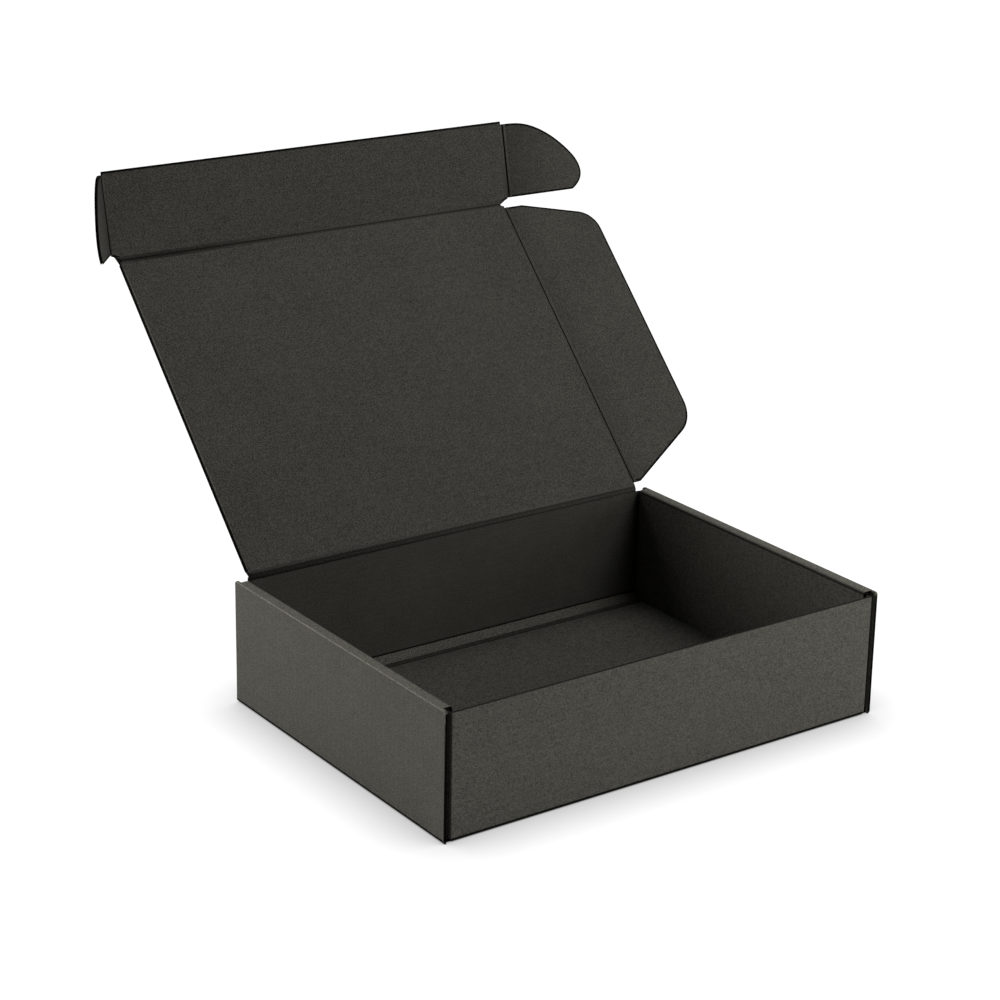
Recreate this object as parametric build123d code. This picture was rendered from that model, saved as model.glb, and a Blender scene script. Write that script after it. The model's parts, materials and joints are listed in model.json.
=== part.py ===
from build123d import *
from math import cos, radians, sin
import os

# A die-cut mailing box of black corrugated board, standing open. The tray stands on z = 0 with its front
# wall at -Y. The lid is hinged on the back wall, and carries the front flap and two dust flaps. The front
# flap closes outside the front wall, and its two ears slide into slits at the tray's front corners.

# Board and outside of the tray
board = 2.5
tray_width = 426.0
tray_depth = 305.0
tray_height = 107.5

# Folded layers of a side wall, from outside in: side panel, ear slit, corner flap, inner panel
ear_slit = 2.9
layer_gap = 0.15
rim_gap = 0.3
inner_end_gap = 3.5
panel_corner = 2.4
corner_flap_length = 62.0
corner_flap_taper = 7.0

# Locking tabs at the foot of the inner panels, and the crease beads at the foot of the front and back walls
tab_length = 40.0
tab_pitch_share = 0.577
tab_fillet = 1.0
bead_leg = 6.0
bead_end_gap = 0.3

# Hinge creases: each parent panel ends in a round bead, and the next panel starts beside it
bead_radius = board / 2
hinge_gap = 0.15
dust_nose = 1.65
dust_start = 2.65

# Lid and front flap
lid_corner = 3.0
flap_height = 77.0
flap_neck = 2.4
flap_shoulder = 5.6
flap_chamfer = 2.5
neck_fillet = 1.3

# Dust flaps: from their crease outwards, and along the lid from its hinge
dust_depth = 95.0
dust_low = 5.3
dust_low_flat = 9.5
dust_right_flat = 20.0
dust_left_flat = 11.0
dust_low_taper = 29.3
dust_right_taper = 14.8
dust_left_taper = 24.0
dust_low_radius = 34.0
dust_high_radius = 22.0

# Ears: outline of the rounded end as shares of length and height, and how firmly it leaves its two ends
ear_length = 92.0
ear_height = 69.5
ear_base = 4.6
ear_start_share = 1.0
ear_finish_share = 0.4
ear_end_shares = (
    (0.19, 0.991),
    (0.385, 0.932),
    (0.526, 0.851),
    (0.724, 0.686),
    (0.864, 0.529),
    (0.961, 0.377),
    (1.0, 0.23),
    (0.966, 0.098),
    (0.86, 0.0),
)

# Angles of the open box, in degrees
lid_opening = 134.4
flap_fold = 32.7
dust_right_fold = 0.0
dust_left_fold = -122.0
ear_right_fold = -5.0
ear_left_fold = 59.4

# Lengths that follow
half_width = tray_width / 2
half_depth = tray_depth / 2
side_inside = half_width - board
flap_outside = side_inside - ear_slit
flap_inside = flap_outside - board
wall_outside = flap_inside - layer_gap
wall_inside = wall_outside - board
end_inside = half_depth - board
end_top = tray_height - board - rim_gap
rim_end = end_inside - inner_end_gap
tab_drop = board - layer_gap
hinge_y = half_depth - bead_radius
hinge_z = tray_height + rim_gap + bead_radius
lid_length = hinge_y + half_depth + rim_gap + bead_radius
dust_high = hinge_y + end_inside - rim_gap
tab_pitch = tray_depth * tab_pitch_share
dust_crease = wall_inside - rim_gap - bead_radius
ear_crease = side_inside - (ear_slit - board) / 2 - bead_radius
panel_start = bead_radius + hinge_gap


def bent_sheet(points, plane, reach):
    """A sheet of board to the left of a line of inner corners, swept to both sides of the plane by reach."""
    line = Polyline(*points)
    outer = line.offset_2d(board, kind=Kind.ARC, side=Side.LEFT)
    return extrude(plane * make_face(outer.edges()), reach, both=True)


def plate(outline):
    """A flat panel of board with its middle on z = 0."""
    return extrude(outline, bead_radius, both=True)


def round_edge(start, end):
    """The round bead of a crease between two points."""
    return Solid.make_cylinder(
        bead_radius, (end - start).length, Plane(origin=start, z_dir=(end - start).normalized())
    )


def block(low, high):
    """A box between two corners."""
    size = high - low
    return Pos(*((low + high) / 2)) * Box(size.X, size.Y, size.Z)


# Tray: the base and the two side panels, round at their top corners and cut back for the front and back walls
side_panels = bent_sheet(
    (
        (side_inside, tray_height),
        (side_inside, board),
        (-side_inside, board),
        (-side_inside, tray_height),
    ),
    Plane.XZ,
    half_depth,
)
panel_corners = side_panels.edges().filter_by(Axis.X).group_by(Axis.Z)[-1]
side_panels = fillet(panel_corners, panel_corner)
end_room = block(Vector(-side_inside, end_inside, 0), Vector(side_inside, half_depth, board))
base = side_panels - end_room - mirror(end_room, Plane.XZ)

# The front and back walls rise from the base
end_walls = bent_sheet(
    (
        (end_inside, end_top),
        (end_inside, board),
        (-end_inside, board),
        (-end_inside, end_top),
    ),
    Plane.YZ,
    flap_inside,
)
tray = base + end_walls

# The back wall's hinge strip ends in a round bead
hinge_strip = block(Vector(-dust_crease, end_inside, board), Vector(dust_crease, half_depth, hinge_z))
tray += hinge_strip
tray += round_edge(Vector(-dust_crease, hinge_y, hinge_z), Vector(dust_crease, hinge_y, hinge_z))

# A corner flap turns in at each end of the front and back walls
flap_line = Polyline(
    (dust_crease, end_inside),
    (flap_inside, end_inside),
    (flap_inside, end_inside - corner_flap_length),
)
flap_face = make_face(flap_line.offset_2d(board, kind=Kind.ARC, side=Side.LEFT).edges())
flap_foot = board + rim_gap
corner_flap = Pos(0, 0, flap_foot) * extrude(flap_face, end_top - flap_foot)
flap_end = corner_flap.faces().sort_by(Axis.Y)[0]
flap_corners = flap_end.edges().filter_by(Axis.X)
corner_flap = chamfer(flap_corners, corner_flap_taper)
tray += [
    corner_flap,
    mirror(corner_flap, Plane.XZ),
    mirror(corner_flap, Plane.YZ),
    mirror(mirror(corner_flap, Plane.XZ), Plane.YZ),
]

# Each side panel rolls over a rim and down to an inner panel, with tabs through slots in the base
rolled = bent_sheet(
    (
        (wall_outside, board + layer_gap),
        (wall_outside, tray_height - board),
        (side_inside, tray_height - board),
        (side_inside, board),
    ),
    Plane.XZ,
    rim_end,
)
tab_face = Rectangle(tab_length, board + tab_drop)
tab_face = fillet(tab_face.vertices().group_by(Axis.Y)[0], tab_fillet)
tab_middle = layer_gap + (board + tab_drop) / 2
tab_plane = Plane(origin=(wall_inside, 0, tab_middle), x_dir=(0, 1, 0), z_dir=(1, 0, 0))
tab = extrude(tab_plane * tab_face, board)
slot_low = Vector(wall_inside - layer_gap, -tab_length / 2 - layer_gap, 0)
slot_high = Vector(wall_outside + layer_gap, tab_length / 2 + layer_gap, board)
slot = block(slot_low, slot_high)
side_wall = rolled
for along in (-tab_pitch / 2, tab_pitch / 2):
    tray -= Pos(0, along, 0) * slot
    tray -= mirror(Pos(0, along, 0) * slot, Plane.YZ)
    side_wall += Pos(0, along, 0) * tab
tray += side_wall
tray += mirror(side_wall, Plane.YZ)

# A crease bead lies along the inside foot of the front and back walls
bead_face = Polygon(
    (end_inside, board),
    (end_inside - bead_leg, board),
    (end_inside, board + bead_leg),
    align=None,
)
foot_bead = extrude(Plane.YZ * bead_face, wall_inside - bead_end_gap, both=True)
tray += foot_bead
tray += mirror(foot_bead, Plane.XZ)

# Lid panel, with beads along its two dust-flap creases and its front crease
lid_face = Polygon(
    (-dust_crease, panel_start),
    (dust_crease, panel_start),
    (dust_crease, lid_length),
    (-dust_crease, lid_length),
    align=None,
)
lid_face = fillet(lid_face.vertices().group_by(Axis.Y)[0], lid_corner)
lid = plate(lid_face)
lid += round_edge(Vector(-dust_crease, lid_length, 0), Vector(dust_crease, lid_length, 0))
for side in (-1, 1):
    lid += round_edge(Vector(side * dust_crease, dust_low, 0), Vector(side * dust_crease, dust_high, 0))

# Front flap, wider than the lid above its neck
flap_corner = flap_height - flap_chamfer
flap_half = (
    (0, panel_start),
    (dust_crease, panel_start),
    (dust_crease, flap_neck),
    (ear_crease, flap_shoulder),
    (ear_crease, flap_corner),
    (ear_crease - flap_chamfer, flap_height),
    (0, flap_height),
)
half_face = Polygon(*flap_half, align=None)
neck = half_face.vertices().sort_by_distance((dust_crease, flap_neck))[0]
half_face = fillet(neck, neck_fillet)
half_flap = plate(half_face)
half_flap += round_edge(Vector(ear_crease, flap_shoulder, 0), Vector(ear_crease, flap_corner, 0))
front_flap = half_flap + mirror(half_flap, Plane.YZ)


def dust_flap(flat, taper):
    """A dust flap to the right of its crease, with the crease along +Y."""
    run = dust_depth - dust_low_flat
    fall = dust_depth - flat
    low_rise = run * sin(radians(dust_low_taper)) / cos(radians(dust_low_taper))
    high_fall = fall * sin(radians(taper)) / cos(radians(taper))
    low_corner = (dust_depth, dust_low + low_rise)
    high_corner = (dust_depth, dust_high - high_fall)
    face = Polygon(
        (dust_start, dust_low),
        (dust_low_flat, dust_low),
        low_corner,
        high_corner,
        (flat, dust_high),
        (dust_start, dust_high),
        align=None,
    )
    face = fillet(face.vertices().sort_by_distance(low_corner)[0], dust_low_radius)
    face = fillet(face.vertices().sort_by_distance(high_corner)[0], dust_high_radius)
    nose_face = Polygon(
        (dust_nose, 0),
        (dust_start, -bead_radius),
        (dust_start + board, -bead_radius),
        (dust_start + board, bead_radius),
        (dust_start, bead_radius),
        align=None,
    )
    nose = Pos(0, dust_high, 0) * extrude(Plane.XZ * nose_face, dust_high - dust_low)
    return plate(face) + nose


def ear():
    """An ear to the right of its crease, with the crease along +Y."""
    rounded = [(ear_length * a, ear_base + ear_height * b) for a, b in ear_end_shares]
    foot = (panel_start, flap_shoulder)
    head = (panel_start, ear_base + ear_height)
    ear_pull = (ear_start_share, ear_finish_share)
    curve = Spline(head, *rounded, tangents=((1, 0), (-1, 0)), tangent_scalars=ear_pull)
    return plate(make_face([curve, Line(rounded[-1], foot), Line(foot, head)]))


# Places of the panels in the open box: +Y runs away from each panel's crease, and +Z is its inside
lid_place = Pos(0, hinge_y, hinge_z) * Rot(180 - lid_opening, 0, 0)
flap_place = lid_place * Pos(0, lid_length, 0) * Rot(flap_fold, 0, 0)
dust_right_place = lid_place * Pos(dust_crease, 0, 0) * Rot(0, -dust_right_fold, 0)
dust_left_place = lid_place * Pos(-dust_crease, 0, 0) * Rot(0, dust_left_fold, 0)
ear_right_place = flap_place * Pos(ear_crease, 0, 0) * Rot(0, -ear_right_fold, 0)
ear_left_place = flap_place * Pos(-ear_crease, 0, 0) * Rot(0, ear_left_fold, 0)

parts = {
    "tray": tray,
    "lid": lid_place * lid,
    "front_flap": flap_place * front_flap,
    "dust_flap_right": dust_right_place * dust_flap(dust_right_flat, dust_right_taper),
    "dust_flap_left": dust_left_place * mirror(dust_flap(dust_left_flat, dust_left_taper), Plane.YZ),
    "ear_right": ear_right_place * ear(),
    "ear_left": ear_left_place * mirror(ear(), Plane.YZ),
}

os.makedirs("parts", exist_ok=True)
for name, shape in parts.items():
    export_step(shape, f"parts/{name}.step")
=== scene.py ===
import json
import math
from typing import NamedTuple

import bmesh
import bpy
from mathutils import Matrix, Vector
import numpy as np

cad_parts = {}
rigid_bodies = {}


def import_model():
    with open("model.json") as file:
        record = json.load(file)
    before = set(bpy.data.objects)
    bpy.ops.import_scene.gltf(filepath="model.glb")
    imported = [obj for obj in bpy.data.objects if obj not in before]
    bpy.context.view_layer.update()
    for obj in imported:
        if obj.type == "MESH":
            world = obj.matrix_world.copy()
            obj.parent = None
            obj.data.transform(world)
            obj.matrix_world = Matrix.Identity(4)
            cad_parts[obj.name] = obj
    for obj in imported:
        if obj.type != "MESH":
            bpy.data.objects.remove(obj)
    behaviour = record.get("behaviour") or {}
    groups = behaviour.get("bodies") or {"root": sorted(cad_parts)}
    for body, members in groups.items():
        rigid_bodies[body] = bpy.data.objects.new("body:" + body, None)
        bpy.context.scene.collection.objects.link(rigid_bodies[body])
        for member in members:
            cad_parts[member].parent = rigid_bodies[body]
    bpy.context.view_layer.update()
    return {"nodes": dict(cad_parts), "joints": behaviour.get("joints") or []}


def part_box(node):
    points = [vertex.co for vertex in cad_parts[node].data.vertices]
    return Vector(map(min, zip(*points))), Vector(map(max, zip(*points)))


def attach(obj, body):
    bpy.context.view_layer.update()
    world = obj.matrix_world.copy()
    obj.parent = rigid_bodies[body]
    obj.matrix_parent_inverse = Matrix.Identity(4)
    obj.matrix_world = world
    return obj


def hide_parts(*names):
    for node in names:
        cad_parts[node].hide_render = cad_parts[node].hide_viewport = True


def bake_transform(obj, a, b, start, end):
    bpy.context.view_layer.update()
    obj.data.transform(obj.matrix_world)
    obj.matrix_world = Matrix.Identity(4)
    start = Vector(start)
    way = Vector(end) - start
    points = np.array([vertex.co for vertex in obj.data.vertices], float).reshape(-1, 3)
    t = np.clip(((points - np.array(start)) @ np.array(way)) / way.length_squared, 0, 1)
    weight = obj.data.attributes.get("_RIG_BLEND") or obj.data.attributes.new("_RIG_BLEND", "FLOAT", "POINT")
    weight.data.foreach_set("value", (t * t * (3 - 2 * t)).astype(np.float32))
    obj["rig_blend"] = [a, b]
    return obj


bl_info = {
    "name": "Die-cut mailing box",
    "version": (1, 0, 0),
    "blender": (4, 5, 0),
    "location": "View3D > Sidebar > Mailing box",
    "description": "Dresses the solids of a die-cut mailing box as folded black corrugated board",
    "category": "Object",
}

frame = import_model()
nodes = frame["nodes"]

# Attributes that the liners' material reads, and the order of a board piece's materials
SHEET = "sheet"
# Of the next two attributes, the first darkens a liner for crushing and as painted shade, and the second
# lightens it for wear and as painted highlights
CRUSH_AND_SHADE = "crush"
WEAR_AND_HIGHLIGHT = "rub"
INNER, CUT, OUTER = range(3)


def metres(name, description, default):
    return bpy.props.FloatProperty(name=name, description=description, default=default, unit="LENGTH")


def watts(name, description, default):
    return bpy.props.FloatProperty(name=name, description=description, default=default, unit="POWER")


def factor(name, description, default):
    return bpy.props.FloatProperty(name=name, description=description, default=default, subtype="FACTOR")


def tint(name, description, default):
    return bpy.props.FloatVectorProperty(name=name, description=description, default=default, subtype="COLOR")


class BoardSettings(bpy.types.PropertyGroup):
    """Sizes and colours of the corrugated board."""

    liner: metres("Liner", "Thickness of a liner", 0.0003)
    flute_pitch: metres("Flute pitch", "Distance from crest to crest", 0.0064)
    flute_steps: bpy.props.IntProperty(
        name="Flute steps", description="Faces along one flute's wave", default=12, min=4
    )
    edge_channel: metres("Edge channel", "Depth seen between the liners at a cut edge", 0.0014)
    pressed_edge: metres("Pressed edge", "Width that the die presses down along a cut", 0.0022)
    wide_crease: metres("Wide crease", "Reach of a crease along the flutes", 0.0036)
    narrow_crease: metres("Narrow crease", "Reach of a crease across the flutes", 0.0019)
    ear_crease: metres("Ear crease", "Reach of the creases that the ears fold on", 0.003)
    wide_bend: metres("Wide bend", "Half length of the bend in a wide crease", 0.0022)
    narrow_bend: metres("Narrow bend", "Half length of the bend in a narrow crease", 0.0014)
    ear_bend: metres("Ear bend", "Half length of the bend in an ear's crease", 0.0012)
    crush_depth: metres("Crush depth", "How far a crease presses a liner in", 0.00055)
    lap: metres("Lap", "How far a crease lies over the board beside it", 0.0008)
    root_trim: metres("Root trim", "Trim of a dust flap's liners at its root", 0.0003)
    worn_edge: metres("Worn edge", "Rounding of the side walls' outer edges", 0.0007)
    worn_length: metres("Worn length", "How far the side walls' top corners are worn down", 0.013)
    # The dark lines and the band at the back wall's foot are painted shade
    foot_line: metres("Foot line", "Width of the dark lines at the back wall's foot", 0.0015)
    foot_band: metres("Foot band", "Width of the pressed band before that foot", 0.0075)
    # The bottom folds' dark line is a painted contact shadow
    bottom_line: metres("Bottom line", "How far the bottom folds' dark line runs up", 0.0007)
    # The outer liner is set lighter than the inner one: partly its own tone, partly painted light for the
    # brighter light on outward faces
    inner_black: tint("Inner liner", "Black kraft liner on the inside", (0.0463, 0.0446, 0.0367))
    outer_black: tint("Outer liner", "Black kraft liner on the outside", (0.0814, 0.0786, 0.0658))
    raw: tint("Cut edge colour", "Raw cut edges and fluting", (0.008, 0.0074, 0.0065))


class StageSettings(bpy.types.PropertyGroup):
    """Floor and light of the studio."""

    floor: tint("Floor colour", "Pale floor", (0.9, 0.9, 0.9))
    key: watts("Key light", "Softbox high at the right", 18.9)
    side: watts("Side light", "Softbox low at the left", 19.8)
    fill: watts("Fill light", "Softbox low at the right", 3.4)
    top: watts("Top light", "Softbox overhead, towards the back", 13.2)
    sky: factor("Surround", "Strength of the surrounding light", 0.015)
    glow: factor("Floor white", "Light that the camera sees from the floor", 1.04)
    unseen: factor("Unseen light", "Share of the lamps' light on the floor kept from the camera", 0.94)
    # The floor's contact shadow that the camera sees is painted, from ambient occlusion
    shadow_reach: metres("Shadow reach", "How far the box's shadow spreads on the floor", 0.06)
    shadow_power: factor("Shadow power", "How dark that shadow is", 0.8)


def board():
    return bpy.context.scene.board


def add_piece(name, mesh, materials, body):
    """A finished piece that rides on a body of the box."""
    piece = bpy.data.objects.new(name, mesh)
    bpy.context.scene.collection.objects.link(piece)
    for material in materials:
        mesh.materials.append(material)
    if body:
        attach(piece, body)
    return piece


def mesh_from(bm, name):
    """A mesh of what was modelled, which is freed."""
    mesh = bpy.data.meshes.new(name)
    bm.to_mesh(mesh)
    bm.free()
    return mesh


# Frames of the panels


def joint_of(panel):
    return next(j for j in frame["joints"] if j["child"] == panel)


def panel_frame(panel):
    """Axes of a hinged panel in the row frame: X along its crease, Y away from it, Z to its inside."""
    joint = joint_of(panel)
    origin = Vector(joint["pos_m"])
    axis = Vector(joint["axis"]).normalized()
    mesh = nodes[panel].data
    broad = max(mesh.polygons, key=lambda face: face.area).normal
    out = axis.cross(broad).normalized()
    centre = sum((v.co for v in mesh.vertices), Vector()) / len(mesh.vertices)
    if out.dot(centre - origin) < 0:
        out = -out
    inside = out.cross(axis)
    turn = Matrix((-axis, out, inside)).transposed()
    return Matrix.Translation(origin) @ turn.to_4x4()


def half_board(panel):
    """Half the board's thickness, read from a panel's solid."""
    back = panel_frame(panel).inverted()
    return max((back @ v.co).z for v in nodes[panel].data.vertices)


def face_outline(panel):
    """Outline of a panel's flat inside face, on the panel's own axes."""
    place = panel_frame(panel)
    back = place.inverted()
    inside = place.to_3x3().col[2]
    mesh = nodes[panel].data
    edges = set()
    for face in mesh.polygons:
        if face.normal.dot(inside) < 0.9999:
            continue
        ring = [tuple(round(c, 6) for c in (back @ mesh.vertices[i].co).xy) for i in face.vertices]
        for a, b in zip(ring, ring[1:] + ring[:1]):
            if (b, a) in edges:
                edges.remove((b, a))
            else:
                edges.add((a, b))
    follow = dict(edges)
    start = min(follow)
    loop = [start]
    while follow[loop[-1]] != start:
        loop.append(follow[loop[-1]])
    return [Vector(p) for p in loop]


def clip(outline, normal, reach):
    """The part of an outline where its distance along a direction is at most reach."""
    normal = Vector(normal)
    kept = []
    for a, b in zip(outline, outline[1:] + outline[:1]):
        da, db = a.dot(normal) - reach, b.dot(normal) - reach
        if da <= 0:
            kept.append(a)
        if da * db < 0:
            kept.append(a.lerp(b, da / (da - db)))
    return kept


def relieve(outline, side, inset):
    """An outline set back along its straight sides at x = side and -side, where a crease takes over."""
    made = []
    for a, b in zip(outline, outline[1:] + outline[:1]):
        made.append(a)
        if abs(abs(a.x) - side) < 1e-6 and abs(a.x - b.x) < 1e-6 and abs(a.y - b.y) > side / 2:
            back = math.copysign(side - inset, a.x)
            made += [Vector((back, a.y)), Vector((back, b.y))]
    return made


def shrink(outline, inset, held=()):
    """An outline moved inwards by a small inset, except for its held edges. Edge i starts at point i."""
    count = len(outline)
    inwards = []
    for i, point in enumerate(outline):
        run = (outline[(i + 1) % count] - point).normalized()
        inwards.append(Vector((-run.y, run.x)))
    moved = []
    for i, point in enumerate(outline):
        a, b = inwards[i - 1], inwards[i]
        step_a = 0.0 if (i - 1) % count in held else inset
        step_b = 0.0 if i in held else inset
        area = a.x * b.y - a.y * b.x
        if abs(area) < 0.02:
            moved.append(point + (a + b).normalized() * max(step_a, step_b))
        else:
            moved.append(point + Vector((step_a * b.y - step_b * a.y, step_b * a.x - step_a * b.x)) / area)
    return moved


# Shader groups and materials


def new_group(name, inputs, outputs):
    """An empty shader group. Inputs are name, kind and default, and outputs name and kind."""
    group = bpy.data.node_groups.new(name, "ShaderNodeTree")
    for label, kind, default in inputs:
        socket = group.interface.new_socket(label, in_out="INPUT", socket_type="NodeSocket" + kind)
        if default is not None:
            socket.default_value = default
    for label, kind in outputs:
        group.interface.new_socket(label, in_out="OUTPUT", socket_type="NodeSocket" + kind)
    return group, group.nodes.new("NodeGroupInput"), group.nodes.new("NodeGroupOutput")


def maths(tree, operation, first, second=None, clamp=False):
    node = tree.nodes.new("ShaderNodeMath")
    node.operation = operation
    node.use_clamp = clamp
    for socket, value in zip(node.inputs, (first, second)):
        if value is None:
            continue
        if isinstance(value, (int, float)):
            socket.default_value = value
        else:
            tree.links.new(value, socket)
    return node.outputs[0]


def noise_node(tree, vector, scale, detail, roughness=0.5):
    node = tree.nodes.new("ShaderNodeTexNoise")
    node.inputs["Scale"].default_value = scale
    node.inputs["Detail"].default_value = detail
    node.inputs["Roughness"].default_value = roughness
    tree.links.new(vector, node.inputs["Vector"])
    return node.outputs["Fac"]


# Paper grain: noise scales from fibres to broad patches, and how much the larger ones count
FIBRE_STRETCH = (0.75, 1.0, 1.0)
FIBRE_SCALE = 1400.0
CLOUD_SCALE = 110.0
PATCH_SCALE = 14.0
CLOUD_SHARE = 0.09
PATCH_SHARE = 0.09
DARKEST_TONE = 0.1
INNER_CONTRAST = 3.6
OUTER_CONTRAST = 2.3
EDGE_CONTRAST = 0.7
FLUTE_CONTRAST = 0.6

# What the marks and the flutes do to a liner, and its sheen; the marks hold painted shade and painted
# highlights as well as crushing and wear
CRUSH_AND_SHADE_DARKENS = 0.93
WEAR_AND_HIGHLIGHT_LIGHTENS = 0.6
RIDGE_SHADE = 0.05
RIDGE_PATCH_SCALE = 40.0
RIDGE_HEIGHT = 0.00004
TOOTH_HEIGHT = 0.0001
LINER_ROUGHNESS = 1.02
FIBRE_POLISH = 0.3
LINER_SHEEN = 0.3


def paper_grain():
    """Mottle and tooth of kraft paper, with fibres that lie along the flutes."""
    found = bpy.data.node_groups.get("Paper grain")
    if found:
        return found
    tree, given, made = new_group(
        "Paper grain",
        [("Sheet", "Vector", None), ("Contrast", "Float", EDGE_CONTRAST)],
        [("Tone", "Float"), ("Height", "Float")],
    )
    stretch = tree.nodes.new("ShaderNodeMapping")
    stretch.inputs["Scale"].default_value = FIBRE_STRETCH
    tree.links.new(given.outputs["Sheet"], stretch.inputs["Vector"])
    fine = noise_node(tree, stretch.outputs["Vector"], FIBRE_SCALE, 1.0, 0.4)
    total = maths(tree, "SUBTRACT", fine, 0.5)
    for scale, detail, share in ((CLOUD_SCALE, 3.0, CLOUD_SHARE), (PATCH_SCALE, 2.0, PATCH_SHARE)):
        larger = maths(tree, "SUBTRACT", noise_node(tree, given.outputs["Sheet"], scale, detail), 0.5)
        total = maths(tree, "ADD", total, maths(tree, "MULTIPLY", larger, share))
    tone = maths(tree, "ADD", maths(tree, "MULTIPLY", total, given.outputs["Contrast"]), 1.0)
    tree.links.new(maths(tree, "MAXIMUM", tone, DARKEST_TONE), made.inputs["Tone"])
    tree.links.new(fine, made.inputs["Height"])
    return tree


def flute_print():
    """Faint ridges where the flutes print through a liner."""
    found = bpy.data.node_groups.get("Flute print")
    if found:
        return found
    inputs = [("Sheet", "Vector", None), ("Pitch", "Float", board().flute_pitch)]
    tree, given, made = new_group("Flute print", inputs, [("Ridge", "Float")])
    split = tree.nodes.new("ShaderNodeSeparateXYZ")
    tree.links.new(given.outputs["Sheet"], split.inputs[0])
    turns = maths(tree, "DIVIDE", split.outputs["Y"], given.outputs["Pitch"])
    wave = maths(tree, "COSINE", maths(tree, "MULTIPLY", turns, math.tau))
    patchy = noise_node(tree, given.outputs["Sheet"], RIDGE_PATCH_SCALE, 2.0)
    ridge = maths(tree, "MULTIPLY", wave, patchy)
    tree.links.new(ridge, made.inputs["Ridge"])
    return tree


def attribute_node(tree, name, kind):
    node = tree.nodes.new("ShaderNodeAttribute")
    node.attribute_name = name
    return node.outputs[kind]


def tinted(tree, colour, tone):
    """A colour times a tone."""
    node = tree.nodes.new("ShaderNodeVectorMath")
    node.operation = "SCALE"
    node.inputs[0].default_value = colour
    tree.links.new(tone, node.inputs["Scale"])
    return node.outputs["Vector"]


def bump_node(tree, height, strength, distance, normal=None):
    node = tree.nodes.new("ShaderNodeBump")
    node.inputs["Strength"].default_value = strength
    node.inputs["Distance"].default_value = distance
    tree.links.new(height, node.inputs["Height"])
    if normal:
        tree.links.new(normal, node.inputs["Normal"])
    return node.outputs["Normal"]


def new_material(name):
    """An empty material with its node tree and its shader."""
    material = bpy.data.materials.new(name)
    material.use_nodes = True
    return material, material.node_tree, material.node_tree.nodes["Principled BSDF"]


def grain_node(tree, place, contrast):
    """Paper grain in a material, laid out by a place on the sheet or in space."""
    grain = tree.nodes.new("ShaderNodeGroup")
    grain.node_tree = paper_grain()
    grain.inputs["Contrast"].default_value = contrast
    tree.links.new(place, grain.inputs["Sheet"])
    return grain


def liner_paper(name, colour, contrast):
    """Matte black kraft liner, darker and duller where creases crushed it and where painted shade lies, and
    lighter where it is worn and where painted highlights lie.
    """
    found = bpy.data.materials.get(name)
    if found:
        return found
    material, tree, shader = new_material(name)
    sheet = attribute_node(tree, SHEET, "Vector")
    grain = grain_node(tree, sheet, contrast)
    ridges = tree.nodes.new("ShaderNodeGroup")
    ridges.node_tree = flute_print()
    ridges.inputs["Pitch"].default_value = board().flute_pitch
    tree.links.new(sheet, ridges.inputs["Sheet"])
    crush = attribute_node(tree, CRUSH_AND_SHADE, "Fac")
    rub = attribute_node(tree, WEAR_AND_HIGHLIGHT, "Fac")
    # Painted shade and crushing darken the liner; painted highlights and wear lighten it
    darkened = maths(tree, "SUBTRACT", 1.0, maths(tree, "MULTIPLY", crush, CRUSH_AND_SHADE_DARKENS))
    lightened = maths(tree, "ADD", 1.0, maths(tree, "MULTIPLY", rub, WEAR_AND_HIGHLIGHT_LIGHTENS))
    tone = maths(tree, "MULTIPLY", maths(tree, "MULTIPLY", grain.outputs["Tone"], darkened), lightened)
    # Painted shade along the flute ridges, on top of their bump
    ridge_painted_shade = maths(tree, "ADD", 1.0, maths(tree, "MULTIPLY", ridges.outputs["Ridge"], RIDGE_SHADE))
    shade = tinted(tree, colour, maths(tree, "MULTIPLY", tone, ridge_painted_shade))
    tree.links.new(shade, shader.inputs["Base Color"])
    polish = maths(tree, "MULTIPLY", grain.outputs["Height"], FIBRE_POLISH)
    rough = maths(tree, "SUBTRACT", LINER_ROUGHNESS, polish, clamp=True)
    tree.links.new(rough, shader.inputs["Roughness"])
    tooth = bump_node(tree, grain.outputs["Height"], 0.15, TOOTH_HEIGHT)
    ridged = bump_node(tree, ridges.outputs["Ridge"], 0.5, RIDGE_HEIGHT, tooth)
    tree.links.new(ridged, shader.inputs["Normal"])
    tree.links.new(maths(tree, "MULTIPLY", darkened, LINER_SHEEN), shader.inputs["Specular IOR Level"])
    return material


def raw_paper(name, colour, contrast):
    """Raw fibres of a cut edge or of the fluting."""
    found = bpy.data.materials.get(name)
    if found:
        return found
    material, tree, shader = new_material(name)
    place = tree.nodes.new("ShaderNodeTexCoord").outputs["Object"]
    grain = grain_node(tree, place, contrast)
    tree.links.new(tinted(tree, colour, grain.outputs["Tone"]), shader.inputs["Base Color"])
    fibres = bump_node(tree, grain.outputs["Height"], 0.5, 2 * TOOTH_HEIGHT)
    tree.links.new(fibres, shader.inputs["Normal"])
    shader.inputs["Roughness"].default_value = 0.95
    shader.inputs["Specular IOR Level"].default_value = 0.15
    return material


def papers():
    """Materials of a board piece, in the order of INNER, CUT and OUTER."""
    return [
        liner_paper("inner_liner", board().inner_black, INNER_CONTRAST),
        raw_paper("cut_edge", board().raw, EDGE_CONTRAST),
        liner_paper("outer_liner", board().outer_black, OUTER_CONTRAST),
    ]


# Board panels


def score(bm, faces, point, normal):
    """Splits some faces along a straight line."""
    shared = {v for f in faces for v in f.verts} | {e for f in faces for e in f.edges}
    bmesh.ops.bisect_plane(bm, geom=list(faces) + list(shared), dist=1e-7, plane_co=point, plane_no=normal)


def mark_sheet(bm, along_flutes, across_flutes):
    """Writes each corner's place on the flat sheet, along and across the flutes."""
    layer = bm.loops.layers.float_vector.new(SHEET)
    for face in bm.faces:
        for loop in face.loops:
            co = loop.vert.co
            loop[layer] = Vector((co.dot(along_flutes), co.dot(across_flutes), co.z))


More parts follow.
